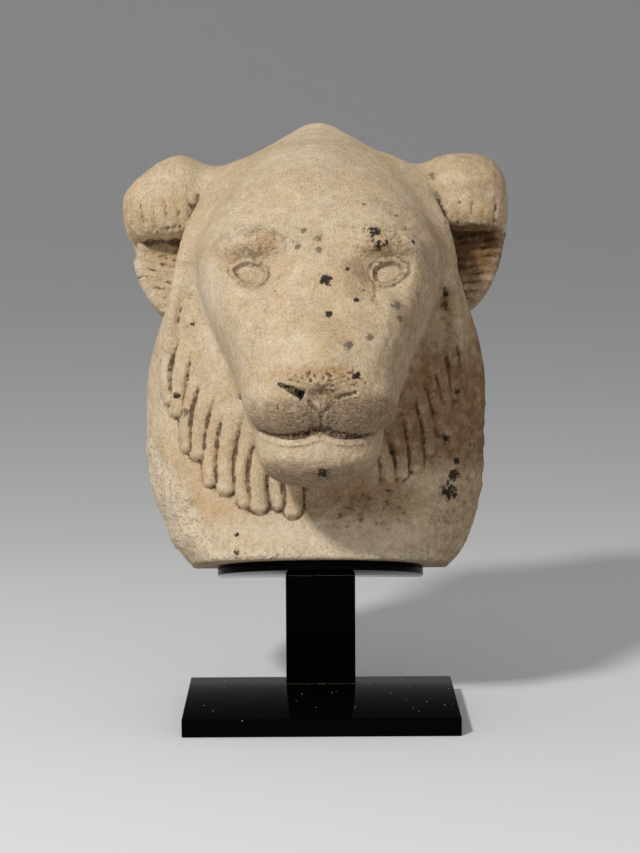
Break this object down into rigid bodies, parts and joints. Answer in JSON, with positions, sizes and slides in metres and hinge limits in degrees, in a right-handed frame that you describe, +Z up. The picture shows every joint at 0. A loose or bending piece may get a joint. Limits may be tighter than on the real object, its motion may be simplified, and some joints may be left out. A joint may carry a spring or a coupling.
{
  "type": "carved lion head sculptor model on a display stand",
  "caption": "Carved limestone lion head, a sculptor's model with a flat back, held tilted on a black plate, post and base.",
  "frame": {"origin": "centre of the base plate's underside", "axes": "+Z up along the post; the lion looks along -Y; +X is to the right of someone who faces it"},
  "size_m": [0.1377, 0.1418, 0.2076],
  "materials": {
    "limestone": "chiselled and worn, matt",
    "black_acrylic": "polished"
  },
  "bodies": {
    "root": {"lion_head": "limestone", "cradle_plate": "black_acrylic", "post": "black_acrylic", "base_plate": "black_acrylic"}
  },
  "joints": []
}
